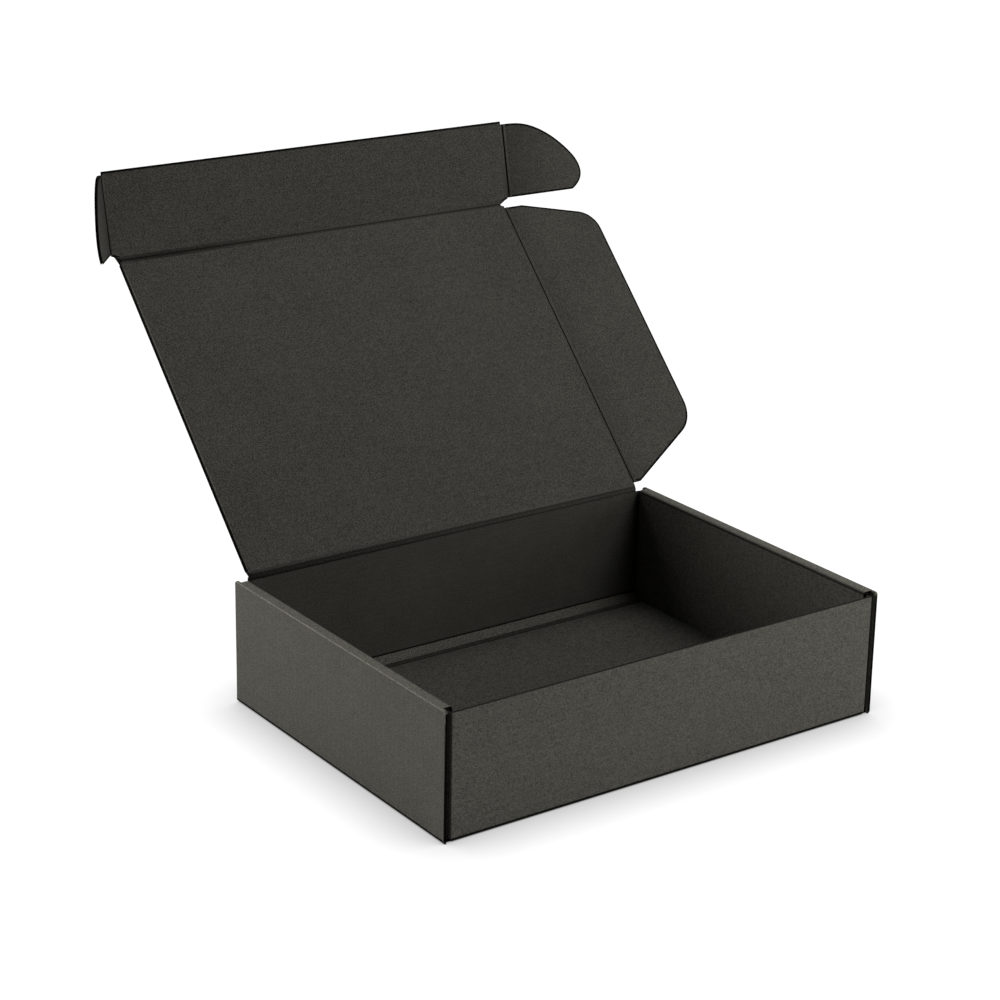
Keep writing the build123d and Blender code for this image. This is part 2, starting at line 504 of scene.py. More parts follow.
# Shares of the liner, of its lip and of the width that the die presses, where the die presses an edge; that
# width is darkened for crushing and with painted shade
LIP_SHARE = 0.5
SLOPE_SHARE = 0.4
CUT_SHARE = 1.5
DARK_LINE_SHARE = 0.75
DARK_LINE_CRUSH_AND_SHADE = 0.95


def liner_pair(outline, held, half, liner, press):
    """Two liners with cut edges that the die presses down, darkened for crushing and with painted shade, on a
    panel's own axes. Held edges lie under a crease.
    """
    bm = bmesh.new()
    crush = bm.loops.layers.float.new(CRUSH_AND_SHADE)
    lip = liner * LIP_SHARE
    for side, paper in ((1, INNER), (-1, OUTER)):
        # Outline, height and darkness of each level, from the flat face round the cut to the underside; the
        # darkness is crushing and painted shade
        levels = (
            (shrink(outline, press, held), half, 0.0),
            (shrink(outline, press * DARK_LINE_SHARE, held), half - lip * SLOPE_SHARE, DARK_LINE_CRUSH_AND_SHADE),
            (shrink(outline, lip * LIP_SHARE, held), half - lip, 1.0),
            (outline, half - lip * CUT_SHARE, 1.0),
            (outline, half - lip - liner, 1.0),
            (shrink(outline, liner, held), half - lip - liner, 1.0),
        )
        rings = [[bm.verts.new((p.x, p.y, side * z)) for p in line] for line, z, mark in levels]
        made = [(rings[0], paper)]
        for k, (a, b) in enumerate(zip(rings, rings[1:])):
            for i in range(len(a)):
                made.append(([a[i - 1], b[i - 1], b[i], a[i]], paper if k < 3 else CUT))
        made.append((rings[-1][::-1], CUT))
        marks = {v: mark for ring, (line, z, mark) in zip(rings, levels) for v in ring}
        for ring, material in made:
            face = bm.faces.new(ring if side > 0 else ring[::-1])
            face.material_index = material
            for loop in face.loops:
                loop[crush] = marks[loop.vert]
    return bm


# Rays that find a panel's edge start this far out and reach this far
RAY_START = 1.0
RAY_LENGTH = 10.0


def flute_tree():
    """Fluted medium between two liners: one wave repeated across the panel and cut at its ends."""
    found = bpy.data.node_groups.get("Fluted medium")
    if found:
        return found
    tree = bpy.data.node_groups.new("Fluted medium", "GeometryNodeTree")
    kinds = {"Panel": "Geometry", "Pitch": "Float", "Height": "Float", "Steps": "Int", "Paper": "Material"}
    for label, kind in kinds.items():
        tree.interface.new_socket(label, in_out="INPUT", socket_type="NodeSocket" + kind)
    tree.interface.new_socket("Medium", in_out="OUTPUT", socket_type="NodeSocketGeometry")

    def node(kind, feeds=(), **options):
        """A node with its options set, and with its inputs linked or set by name or number."""
        added = tree.nodes.new(kind)
        for name, value in options.items():
            setattr(added, name, value)
        for name, value in dict(feeds).items():
            if isinstance(value, bpy.types.NodeSocket):
                tree.links.new(value, added.inputs[name])
            else:
                added.inputs[name].default_value = value
        return added.outputs

    def calc(operation, a, b=None):
        return maths(tree, operation, a, b)

    def vector(x, y, z):
        return node("ShaderNodeCombineXYZ", enumerate((x, y, z)))[0]

    def split(source):
        return node("ShaderNodeSeparateXYZ", {0: source})

    def here():
        return split(node("GeometryNodeInputPosition")[0])

    given = node("NodeGroupInput")
    panel, pitch, steps = given["Panel"], given["Pitch"], given["Steps"]
    # One wave: a strip of steps along Y, drawn out along X
    step = vector(0, calc("DIVIDE", pitch, steps), 0)
    line = node("GeometryNodeMeshLine", {"Count": calc("ADD", steps, 1), "Offset": step})["Mesh"]
    strip = node("GeometryNodeExtrudeMesh", {"Mesh": line, "Offset": vector(1, 0, 0)}, mode="EDGES")["Mesh"]
    wave = node(
        "GeometryNodeStoreNamedAttribute",
        {"Geometry": strip, "Name": "far", "Value": here()["X"]},
        data_type="FLOAT",
        domain="POINT",
    )["Geometry"]
    # The wave repeated from the panel's low end to its high end
    box = node("GeometryNodeBoundBox", {0: panel})
    low, high = split(box["Min"])["Y"], split(box["Max"])["Y"]
    repeats = node(
        "GeometryNodeMeshLine",
        {
            "Count": calc("CEIL", calc("DIVIDE", calc("SUBTRACT", high, low), pitch)),
            "Start Location": vector(0, low, 0),
            "Offset": vector(0, pitch, 0),
        },
    )["Mesh"]
    waves = node("GeometryNodeInstanceOnPoints", {"Points": repeats, "Instance": wave})["Instances"]
    joined = node("GeometryNodeRealizeInstances", {0: waves})[0]
    # Each end of the strip is moved to where a ray along X meets the panel's edge
    is_far = node("GeometryNodeInputNamedAttribute", {"Name": "far"}, data_type="FLOAT")["Attribute"]
    sign = calc("SUBTRACT", calc("MULTIPLY", is_far, 2), 1)
    spot = here()["Y"]
    ray = node(
        "GeometryNodeRaycast",
        {
            "Target Geometry": panel,
            "Source Position": vector(calc("MULTIPLY", sign, RAY_START), spot, 0),
            "Ray Direction": vector(calc("MULTIPLY", sign, -1), 0, 0),
            "Ray Length": RAY_LENGTH,
        },
    )
    turns = calc("DIVIDE", calc("SUBTRACT", spot, low), pitch)
    crest = calc("COSINE", calc("MULTIPLY", turns, math.tau))
    height = calc("MULTIPLY", crest, calc("MULTIPLY", given["Height"], 0.5))
    moved = vector(split(ray["Hit Position"])["X"], spot, height)
    shaped = node(
        "GeometryNodeSetPosition", {"Geometry": joined, "Selection": ray["Is Hit"], "Position": moved}
    )["Geometry"]
    over = calc("SUBTRACT", here()["Y"], high)
    past = node("FunctionNodeCompare", {"A": over, "B": -1e-7}, operation="GREATER_THAN")[0]
    trimmed = node("GeometryNodeDeleteGeometry", {"Geometry": shaped, "Selection": past}, domain="POINT")[0]
    paper = node("GeometryNodeSetMaterial", {"Geometry": trimmed, "Material": given["Paper"]})["Geometry"]
    node("NodeGroupOutput", {"Medium": paper})
    return tree


def medium_mesh(name, outline, height, turn):
    """The fluted medium of a panel, on the panel's own axes. Turn lays the flutes along Y instead of X."""
    lay = Matrix.Rotation(math.radians(90), 4, "Z") if turn else Matrix.Identity(4)
    unlay = lay.inverted()
    flat = [(unlay @ p.to_3d()).xy for p in outline]
    bm = bmesh.new()
    bottom = [bm.verts.new((p.x, p.y, -height)) for p in flat]
    top = [bm.verts.new((p.x, p.y, height)) for p in flat]
    bm.faces.new(top)
    bm.faces.new(bottom[::-1])
    for i in range(len(flat)):
        bm.faces.new((bottom[i - 1], bottom[i], top[i], top[i - 1]))
    prism = mesh_from(bm, name)
    holder = bpy.data.objects.new(name, prism)
    bpy.context.scene.collection.objects.link(holder)
    tree = flute_tree()
    maker = holder.modifiers.new("Flutes", "NODES")
    maker.node_group = tree
    values = {
        "Pitch": board().flute_pitch,
        "Height": height,
        "Steps": board().flute_steps,
        "Paper": raw_paper("fluting", board().raw, FLUTE_CONTRAST),
    }
    for item in tree.interface.items_tree:
        if item.in_out == "INPUT" and item.name in values:
            maker[item.identifier] = values[item.name]
    bpy.context.view_layer.update()
    shown = holder.evaluated_get(bpy.context.evaluated_depsgraph_get())
    mesh = bpy.data.meshes.new_from_object(shown)
    bpy.data.objects.remove(holder)
    bpy.data.meshes.remove(prism)
    mesh.transform(lay)
    return mesh


SHADE_STEPS = 6


def shade_fold(bm, strength, reach):
    """Paints shade on a panel's liners, darkest at its crease and fading out over the reach, for the flap's
    curve away from the light.
    """
    bm.normal_update()

    def broad():
        return [f for f in bm.faces if abs(f.normal.z) > 0.99 and f.material_index != CUT]

    for k in range(1, SHADE_STEPS + 1):
        score(bm, broad(), (0, reach * k / SHADE_STEPS, 0), (0, 1, 0))
    crush = bm.loops.layers.float[CRUSH_AND_SHADE]
    for face in broad():
        for loop in face.loops:
            loop[crush] = max(loop[crush], strength * (1 - min(1.0, loop.vert.co.y / reach)))


def under_creases(outline, trims, relief):
    """Numbers of the outline's edges that lie under a crease."""
    held = set()
    for i, (a, b) in enumerate(zip(outline, outline[1:] + outline[:1])):
        if any(abs(a.dot(Vector(d)) - r) < 1e-7 and abs(b.dot(Vector(d)) - r) < 1e-7 for d, r in trims):
            held.add(i)
        if relief and min(abs(a.x), abs(b.x)) < relief[0] - relief[1] + 1e-6 and abs(a.y - b.y) != 0.0:
            held.add(i)
    return held


def make_panel(panel, trims, upright=False, relief=None, shade=None):
    """Liners and fluted medium of one hinged panel. Trims are directions and reaches where creases start,
    upright lays the flutes along Y, relief is the place and reach of two side creases, and shade the
    strength and reach of painted shade at its root."""
    place = panel_frame(panel)
    half = half_board(panel)
    outline = face_outline(panel)
    for direction, reach in trims:
        outline = clip(outline, direction, reach)
    if relief:
        outline = relieve(outline, *relief)
    held = under_creases(outline, trims, relief)
    bm = liner_pair(outline, held, half, board().liner, board().pressed_edge)
    if shade:
        shade_fold(bm, *shade)
    along, across = Vector((1, 0, 0)), Vector((0, 1, 0))
    if upright:
        along, across = across, along
    mark_sheet(bm, along, across)
    bmesh.ops.recalc_face_normals(bm, faces=bm.faces)
    mesh = mesh_from(bm, panel + "_liners")
    mesh.transform(place)
    liners = add_piece(panel + "_liners", mesh, papers(), panel)
    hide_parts(panel)
    inner = shrink(outline, board().liner, held)
    fluting = medium_mesh(panel + "_fluting", inner, 2 * half - 3 * board().liner, upright)
    fluting.transform(place)
    add_piece(panel + "_fluting", fluting, [], panel)


# Creases


CREASE_STEPS = 36
CREASE_PROUD = 0.00002
CREASE_RUNS = 2
BITE_EDGE_SHARE = 0.8


class Mark(NamedTuple):
    """A line along a crease, measured from the hinge to the panel. One kind darkens it for crushing and with
    painted shade, the other lightens it with wear and a painted highlight.
    """

    kind: str
    middle: float
    half_width: float
    strength: float


class Bite(NamedTuple):
    """The round notch at each end of a crease, and how fast the panel widens beyond it."""

    middle: float
    radius: float
    spread: float


def mark_at(marks, kind, c):
    """How strong the marks of one kind are at a distance from the hinge."""
    drawn = 0.0
    for mark in marks:
        share = abs(c - mark.middle) / mark.half_width
        if mark.kind == kind and share < 1:
            drawn = max(drawn, mark.strength * min(1.0, 2 * math.cos(share * math.pi / 2) ** 2))
    return drawn


def bite_at(bite, c):
    """How far a crease's end is set back at a distance from the hinge."""
    if not bite:
        return 0.0
    off = c - bite.middle
    widening = bite.spread * max(0.0, off - BITE_EDGE_SHARE * bite.radius)
    if abs(off) < bite.radius:
        return math.sqrt(bite.radius * bite.radius - off * off) - widening
    return -widening


def make_crease(panel, parent_side, span, reach, dip, depth, bend, marks, bite=None):
    """The sheet across a hinge, which follows both panels. parent_side points along the parent's board,
    span is the crease's ends, reach how far it runs on the parent and on the panel, dip the middle and half
    width of its groove, depth its depth, and bend how far from the hinge the sheet starts to turn."""
    place = panel_frame(panel)
    half = half_board(panel)
    origin = place.translation
    along = place.to_3x3().col[0]
    out = place.to_3x3().col[1]
    flat_y = -Vector(parent_side).normalized()
    flat_z = along.cross(flat_y)
    fold = math.atan2(out.dot(flat_z), out.dot(flat_y))
    spots = [-reach[0] + (reach[0] + reach[1]) * i / CREASE_STEPS for i in range(CREASE_STEPS + 1)]

    def press(c):
        share = abs(c - dip[0]) / dip[1]
        return math.cos(share * math.pi / 2) ** 2 if share < 1 else 0.0

    def turned(c, z):
        share = min(1.0, max(0.0, (c + bend) / (2 * bend)))
        angle = fold * share * share * (3 - 2 * share)
        y = c * math.cos(angle) - z * math.sin(angle)
        up = c * math.sin(angle) + z * math.cos(angle)
        return y, up

    bm = bmesh.new()
    sheet = bm.loops.layers.float_vector.new(SHEET)
    drawn = {kind: bm.loops.layers.float.new(kind) for kind in (CRUSH_AND_SHADE, WEAR_AND_HIGHLIGHT)}
    ring = [(c, half + CREASE_PROUD - depth * press(c)) for c in spots]
    ring += [(c, -half - CREASE_PROUD + depth * press(c)) for c in reversed(spots)]
    flute_axis = abs(along.x) > 0.5
    rows = []
    for k in range(CREASE_RUNS + 1):
        a = span[0] + (span[1] - span[0]) * k / CREASE_RUNS
        pull_side = {0: 1, CREASE_RUNS: -1}.get(k, 0)
        row = []
        for c, z in ring:
            y, up = turned(c, z)
            pull = pull_side * bite_at(bite, c)
            vert = bm.verts.new(origin + along * (a + pull) + flat_y * y + flat_z * up)
            row.append((vert, a, c))
        rows.append(row)
    for low, high in zip(rows, rows[1:]):
        for i in range(len(ring)):
            corners = (low[i - 1], high[i - 1], high[i], low[i])
            face = bm.faces.new([v for v, a, c in corners])
            face.material_index = INNER if i <= CREASE_STEPS else OUTER
            for loop, (v, a, c) in zip(face.loops, corners):
                loop[sheet] = Vector((a, c, 0)) if flute_axis else Vector((c, a, 0))
                for kind, layer in drawn.items():
                    # Crease marks: darkening for crushing and painted shade, lightening for a painted
                    # highlight
                    loop[layer] = mark_at(marks, kind, c)
    for row in (rows[0], rows[-1]):
        face = bm.faces.new([v for v, a, c in row])
        face.material_index = CUT
    bmesh.ops.recalc_face_normals(bm, faces=bm.faces)
    for face in bm.faces:
        face.smooth = face.material_index != CUT
    mesh = mesh_from(bm, panel + "_crease")
    piece = add_piece(panel + "_crease", mesh, papers(), None)
    start = origin - flat_y * bend
    end = origin + out * bend
    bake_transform(piece, joint_of(panel)["parent"], panel, start=tuple(start), end=tuple(end))


# Tray


# Strength of the tray's marks: a press darkens the front wall's top edge; painted shade darkens the foot, the
# bottom folds and the corner folds; the rims' inward bend is darkened; painted highlights, with wear on the
# rims and corners, lighten the rest
FRONT_TOP_PRESS = 0.55
FOOT_LINE_SHADE = 0.75
FOOT_BAND_SHADOW = 0.5
WALL_LINE_SHADE = 0.9
RIM_BEND_DARKENING = 0.75
BOTTOM_SHADOW = 0.97
CORNER_BEND_SHADE = 0.68
FOOT_STRIP_HIGHLIGHT = 0.9
RIM_WEAR_AND_HIGHLIGHT = 0.7
CORNER_WEAR_AND_HIGHLIGHT = 2.4

# Shares of half the board's thickness: the widest cut edge, and how deep a side wall's layers lie
CUT_WIDTH_SHARE = 2.2
SIDE_WALL_SHARE = 14


class TrayPlaces(NamedTuple):
    """Where the tray's parts lie."""

    half: float
    high: Vector
    foot_front: float
    foot_top: float
    base_z: float
    wall_inside: float
    side_start: float


def tray_solid():
    """The tray's solid in one skin, with a hinge strip that ends under the lid's crease."""
    bm = bmesh.new()
    bm.from_mesh(nodes["tray"].data)
    bmesh.ops.remove_doubles(bm, verts=bm.verts, dist=1e-6)
    hinge_z = joint_of("lid")["pos_m"][2]
    wall_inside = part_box("tray")[1].y - 2 * half_board("lid")
    strip = []
    for face in bm.faces:
        in_wall = min(v.co.y for v in face.verts) > wall_inside - 1e-5
        if in_wall and max(v.co.z for v in face.verts) > hinge_z - 1e-4:
            strip.append(face)
    shared = {v for f in strip for v in f.verts} | {e for f in strip for e in f.edges}
    cut = bmesh.ops.bisect_plane(
        bm,
        geom=list(strip) + list(shared),
        dist=1e-7,
        plane_co=(0, 0, hinge_z - board().wide_crease + board().lap),
        plane_no=(0, 0, 1),
        clear_outer=True,
    )
    bmesh.ops.edgenet_fill(bm, edges=[e for e in cut["geom_cut"] if isinstance(e, bmesh.types.BMEdge)])
    bmesh.ops.dissolve_limit(bm, angle_limit=math.radians(0.5), verts=bm.verts, edges=bm.edges)
    bm.normal_update()
    return bm


def soften_sides(bm, radius):
    """Rounds the outer edges of the side walls above their bottom folds, where hands wear them."""
    reach = max(v.co.x for v in bm.verts)
    middle_z = max(v.co.z for v in bm.verts) / 2
    worn = []
    for edge in bm.edges:
        on_side = all(abs(abs(v.co.x) - reach) < 1e-6 for v in edge.verts)
        sharp = edge.calc_face_angle(0.0) > math.radians(80)
        if on_side and sharp and max(v.co.z for v in edge.verts) > middle_z:
            worn.append(edge)
    bmesh.ops.bevel(bm, geom=worn, offset=radius, segments=2, profile=0.5, affect="EDGES")
    bm.normal_update()


def is_outside(face, high):
    """Whether a face lies in the plane of an outer wall."""
    centre = face.calc_center_median()
    return abs(abs(centre.x) - high.x) < 1e-5 or abs(abs(centre.y) - high.y) < 1e-5


def is_worn(face, high):
    """Whether a face is one of the rounded outer edges of the side walls."""
    slanted = 0.2 < abs(face.normal.x) < 0.98
    return slanted and abs(face.calc_center_median().x) > high.x - board().worn_edge - 1e-6


def on_base(face, places):
    """Whether a face lies on the inside of the base."""
    off = face.calc_center_median_weighted().z - places.base_z
    return face.normal.z > 0.99 and abs(off) < places.half / 2


def sort_faces(bm, half):
    """Cut edges that show open flutes, those that run along the flutes, and the slanted strip that the crease
    presses at the back wall's foot.
    """
    open_cuts, closed_cuts, foot = [], [], []
    for face in bm.faces:
        n, centre = face.normal, face.calc_center_median_weighted()
        straight = max(abs(c) for c in n) > 0.999
        width = 2 * face.calc_area() / face.calc_perimeter()
        if straight and width < CUT_WIDTH_SHARE * half:
            along_flutes = n.z > 0.999 and centre.y < 0 and abs(centre.x) < half
            (closed_cuts if along_flutes else open_cuts).append(face)
        if n.y < -0.5 and n.z > 0.5 and centre.y > 0 and width > CUT_WIDTH_SHARE * half:
            foot.append(face)
    return open_cuts, closed_cuts, foot


def score_tray(bm, places):
    """Splits the tray's faces where a mark starts or ends."""
    line, band = board().foot_line, board().foot_band
    high = places.high
    for start in (places.foot_front - band, places.foot_front - band + line):
        score(bm, [f for f in bm.faces if on_base(f, places)], (0, start, 0), (0, 1, 0))
    back_wall = []
    for face in bm.faces:
        off = face.calc_center_median_weighted().y - places.wall_inside
        if face.normal.y < -0.99 and abs(off) < places.half / 2:
            back_wall.append(face)
    score(bm, back_wall, (0, 0, places.foot_top + line), (0, 0, 1))
    upright = [f for f in bm.faces if abs(f.normal.z) < 0.01]
    outer_walls = [f for f in upright if is_outside(f, high) and f.calc_area() > places.half * high.y]
    score(bm, outer_walls, (0, 0, bottom_line(places)), (0, 0, 1))
    upright = [f for f in bm.faces if abs(f.normal.z) < 0.01]
    corners = [f for f in upright if abs(f.normal.x) < 0.95 and is_worn(f, high)]
    score(bm, corners, (0, 0, high.z - board().worn_length), (0, 0, 1))
    bm.normal_update()


def bottom_line(places):
    """Height of the painted contact shadow line along the bottom folds."""
    return 2 * places.half + board().bottom_line


def tray_paper(face, places):
    """Which liner shows on a face of the tray."""
    n, centre = face.normal, face.calc_center_median_weighted()
    on_side = abs(centre.x) > places.side_start
    outwards = n.y * centre.y > 0.1 * abs(centre.y) and abs(centre.y) > places.high.y - 2 * places.half
    return OUTER if on_side and n.z > -0.5 or outwards or n.z < -0.5 else INNER


def tray_marks(face, places, rim_z):
    """How much a face of the tray is darkened, by painted shade and some press, and lightened, by painted
    highlights and some wear. The last mark that fits holds.
    """
    n, centre = face.normal, face.calc_center_median_weighted()
    high, foot_top = places.high, places.foot_top
    band_start = places.foot_front - board().foot_band
    on_back = centre.y > band_start - 1e-5
    on_rim = abs(centre.x) > places.side_start and centre.z > rim_z - 2 * places.half
    darkened, lightened = 0.0, 0.0
    # Painted shadow on the base before the back wall's foot, darkest in a line at its front
    if on_back and on_base(face, places):
        darkened = FOOT_LINE_SHADE if centre.y < band_start + board().foot_line else FOOT_BAND_SHADOW
    # Painted shade in a line on the back wall just above its foot
    if on_back and n.y < -0.99 and foot_top < centre.z < foot_top + board().foot_line:
        darkened = WALL_LINE_SHADE
    # Painted light on the slanted foot strip
    if on_back and n.y < -0.3 and n.z > 0.3 and centre.z < foot_top + 1e-5:
        lightened = FOOT_STRIP_HIGHLIGHT
    # Rim tops: wear and a painted highlight
    if on_rim and n.z > 0.999:
        lightened = RIM_WEAR_AND_HIGHLIGHT
    # The rims' inward bend is darkened
    if on_rim and n.x * centre.x < 0 and 0.05 < n.z < 0.75:
        darkened = RIM_BEND_DARKENING
    # Painted contact shadow along the bottom folds
    low = n.z < 0.01 and centre.z < bottom_line(places)
    if low and (is_outside(face, high) or -0.99 < n.z < -0.05):
        darkened = BOTTOM_SHADOW
    # Painted shade on the rounded corner folds
    if abs(n.z) < 0.01 and 0.45 < abs(n.x) < 0.999 and not is_worn(face, high):
        darkened = CORNER_BEND_SHADE
    # Worn top corners: wear and a painted highlight
    if is_worn(face, high) and centre.z > high.z - board().worn_length:
        lightened = CORNER_WEAR_AND_HIGHLIGHT
    return darkened, lightened


def sheet_place(co, normal):
    """A point's place on the flat sheet, along and across the flutes."""
    if abs(normal.x) > 0.7:
        return Vector((co.z, co.y, co.x))
    if abs(normal.y) > 0.7:
        return Vector((co.x, co.z, co.y))
    return Vector((co.x, co.y, co.z))


def dress_tray():
    """The tray with liners that stand out at its cut edges, painted shade and a painted highlight at the back
    wall's foot, and rims lightened by wear and painted highlights.
    """
    bm = tray_solid()
    half = half_board("lid")
    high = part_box("tray")[1]
    soften_sides(bm, board().worn_edge)
    open_cuts, closed_cuts, foot = sort_faces(bm, half)
    corners = [v.co for f in foot for v in f.verts]
    places = TrayPlaces(
        half=half,
        high=high,
        foot_front=min(co.y for co in corners),
        foot_top=max(co.z for co in corners),
        base_z=min(co.z for co in corners),
        wall_inside=max(co.y for co in corners),
        side_start=high.x - SIDE_WALL_SHARE * half,
    )
    for face in open_cuts + closed_cuts:
        face.material_index = CUT
    for faces, channel in ((open_cuts, board().edge_channel), (closed_cuts, board().liner)):
        bmesh.ops.inset_individual(
            bm, faces=faces, thickness=board().liner, depth=-channel, use_even_offset=True
        )
    score_tray(bm, places)
    sheet = bm.loops.layers.float_vector.new(SHEET)
    crush = bm.loops.layers.float.new(CRUSH_AND_SHADE)
    rub = bm.loops.layers.float.new(WEAR_AND_HIGHLIGHT)
    level = [f.calc_center_median() for f in bm.faces if f.normal.z > 0.999]
    rim_z = max(centre.z for centre in level if abs(centre.x) > places.side_start)
    closed = set(closed_cuts)
    for face in bm.faces:
        darkened, lightened = 0.0, 0.0
        if face in closed:
            face.material_index = INNER
            darkened = FRONT_TOP_PRESS
        elif face.material_index != CUT:
            face.material_index = tray_paper(face, places)
            darkened, lightened = tray_marks(face, places, rim_z)
        for loop in face.loops:
            loop[crush], loop[rub] = darkened, lightened
            loop[sheet] = sheet_place(loop.vert.co, face.normal)
    mesh = mesh_from(bm, "tray_board")
    piece = add_piece("tray_board", mesh, papers(), "tray")
    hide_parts("tray")


class BOX_OT_tray(bpy.types.Operator):
    """Dress the folded tray"""

    bl_idname = "mailing_box.tray"
    bl_label = "Tray"

    def execute(self, context):
        dress_tray()
        return {"FINISHED"}


# Marks, notches and grooves of the creases, in metres. The dark marks are painted shade along with the
# crease's crushing; the light mark on the left dust flap's fold is a painted highlight
# The lid's broad band is painted shade below the crease, between two dark lines
LID_MARKS = (
    Mark(CRUSH_AND_SHADE, -0.0014, 0.0026, 0.35),
    Mark(CRUSH_AND_SHADE, 0.0005, 0.0011, 0.6),
    Mark(CRUSH_AND_SHADE, -0.0029, 0.0006, 0.75),
)
LID_BITE = Bite(middle=0.0009, radius=0.0019, spread=0)
LID_DIP_SHARE = 0.8
LID_DEPTH_SHARE = 0.7
# The front flap's band is painted shade in its fold
FLAP_MARKS = (Mark(CRUSH_AND_SHADE, 0.0003, 0.0009, 0.75), Mark(CRUSH_AND_SHADE, -0.0009, 0.0017, 0.38))
FLAP_BITE = Bite(middle=0, radius=0.0028, spread=2.2)
FLAP_DIP_SHARE = 0.7
FLAP_DEPTH_SHARE = 0.3
DUST_MARKS = {
    "dust_flap_right": (Mark(CRUSH_AND_SHADE, 0.0004, 0.0009, 1.0),),
    # The lid's left edge: a painted highlight on the fold's bend, and painted shade where the flap turns away
    "dust_flap_left": (Mark(WEAR_AND_HIGHLIGHT, -0.0014, 0.0005, 2.2), Mark(CRUSH_AND_SHADE, 0.0002, 0.0015, 1.0)),
}
DUST_DIP = (0.0004, 0.0010)
# Painted shade in the ears' concave creases
EAR_MARKS = {
    "ear_right": (Mark(CRUSH_AND_SHADE, 0.0, 0.0014, 1.0),),
    "ear_left": (Mark(CRUSH_AND_SHADE, 0.0, 0.0024, 1.0),),
}
EAR_DIP = (0.0, 0.0015)
EAR_DEPTH_SHARE = 1.4

# How dark the painted shade on a side flap's liners is at its crease, and how far that reaches
DUST_SHADE = (0.2, 0.035)
EAR_SHADE = (0.38, 0.06)


def hinge_side(panel):
    """How far to the side of the middle a panel's hinge lies."""
    return abs(joint_of(panel)["pos_m"][0])


def inwards(panel):
    """Direction from a side panel's hinge to the middle of the box."""
    return (-1, 0, 0) if joint_of(panel)["pos_m"][0] > 0 else (1, 0, 0)


def root_ends(panel):
    """Both ends of a panel's root along its crease."""
    outline = face_outline(panel)
    start = min(p.y for p in outline)
    ends = [p.x for p in outline if p.y < start + 1e-4]
    return min(ends), max(ends)


def make_side_flap(panel, reach, shade, **crease):
    """A side flap, with its crease along its whole root."""
    make_panel(panel, [((0, -1), board().lap - reach[1])], upright=True, shade=shade)
    make_crease(panel, parent_side=inwards(panel), span=root_ends(panel), reach=reach, **crease)


class BOX_OT_lid(bpy.types.Operator):
    """Make the lid panel with its crease on the back wall"""

    bl_idname = "mailing_box.lid"
    bl_label = "Lid"

    def execute(self, context):
        wide, lap = board().wide_crease, board().lap
        length = (Vector(joint_of("front_flap")["pos_m"]) - Vector(joint_of("lid")["pos_m"])).length
        side = hinge_side("dust_flap_right")
        make_panel(
            "lid",
            trims=[((0, -1), -(wide - lap)), ((0, 1), length - (wide - lap))],
            relief=(side, board().narrow_crease - lap),
        )
        make_crease(
            "lid",
            parent_side=(0, 0, -1),
            span=(-side, side),
            reach=(wide, wide),
            dip=(0.0, wide * LID_DIP_SHARE),
            depth=board().crush_depth * LID_DEPTH_SHARE,
            bend=board().wide_bend,
            marks=LID_MARKS,
            bite=LID_BITE,
        )
        return {"FINISHED"}


class BOX_OT_front_flap(bpy.types.Operator):
    """Make the front flap with its crease on the lid"""

    bl_idname = "mailing_box.front_flap"
    bl_label = "Front flap"

    def execute(self, context):
        wide, lap = board().wide_crease, board().lap
        side = hinge_side("dust_flap_right")
        ear_start = hinge_side("ear_right") - (board().ear_crease - lap)
        make_panel(
            "front_flap",
            trims=[((0, -1), -(wide - lap)), ((1, 0), ear_start), ((-1, 0), ear_start)],
        )
        make_crease(
            "front_flap",
            parent_side=-panel_frame("lid").to_3x3().col[1],
            span=(-side, side),
            reach=(wide, wide),
            dip=(0.0, wide * FLAP_DIP_SHARE),
            depth=board().crush_depth * FLAP_DEPTH_SHARE,
            bend=board().wide_bend,
            marks=FLAP_MARKS,
            bite=FLAP_BITE,
        )
        return {"FINISHED"}


class BOX_OT_dust_flaps(bpy.types.Operator):
    """Make both dust flaps with their creases on the lid's sides"""

    bl_idname = "mailing_box.dust_flaps"
    bl_label = "Dust flaps"

    def execute(self, context):
        for panel, marks in DUST_MARKS.items():
            reach = min(p.y for p in face_outline(panel)) + board().lap + board().root_trim
            make_side_flap(
                panel,
                reach=(board().narrow_crease, reach),
                shade=DUST_SHADE,
                dip=DUST_DIP,
                depth=board().crush_depth,
                bend=board().narrow_bend,
                marks=marks,
            )
        return {"FINISHED"}


class BOX_OT_ears(bpy.types.Operator):
    """Make both ears with their creases on the front flap's ends"""

    bl_idname = "mailing_box.ears"
    bl_label = "Ears"

    def execute(self, context):
        for panel, marks in EAR_MARKS.items():
            make_side_flap(
                panel,
                reach=(board().ear_crease, board().ear_crease),
                shade=EAR_SHADE,
                dip=EAR_DIP,
                depth=board().crush_depth * EAR_DEPTH_SHARE,
                bend=board().ear_bend,
                marks=marks,
            )
        return {"FINISHED"}


# Stage

FLOOR_SIZE = 9.0
FLOOR_GAP = 0.0002

# Place, and width and height, of each softbox
SOFTBOXES = {
    "key": ((0.8, -1.03, 1.52), (1.1, 1.0)),
    "side": ((-1.6, 0.9, 0.45), (1.0, 0.6)),
    "fill": ((0.85, -0.75, 0.35), (0.6, 0.4)),
    "top": ((0.4, 0.5, 2.2), (1.0, 1.0)),
}
LIGHT_AIM = (0, 0.1, 0.15)

# The camera that took the photo
CAMERA_PLACE = Vector((-1.1595, -1.5335, 0.8757))
CAMERA_AIM = Vector((0.031, 0.17262, 0.14))
CAMERA_ROLL = math.radians(-0.76)
CAMERA_LENS = 91.397
CAMERA_SENSOR = 36.0
CAMERA_SHIFT = (0.03275, -0.01763)
CAMERA_CLIP = (0.1, 60.0)


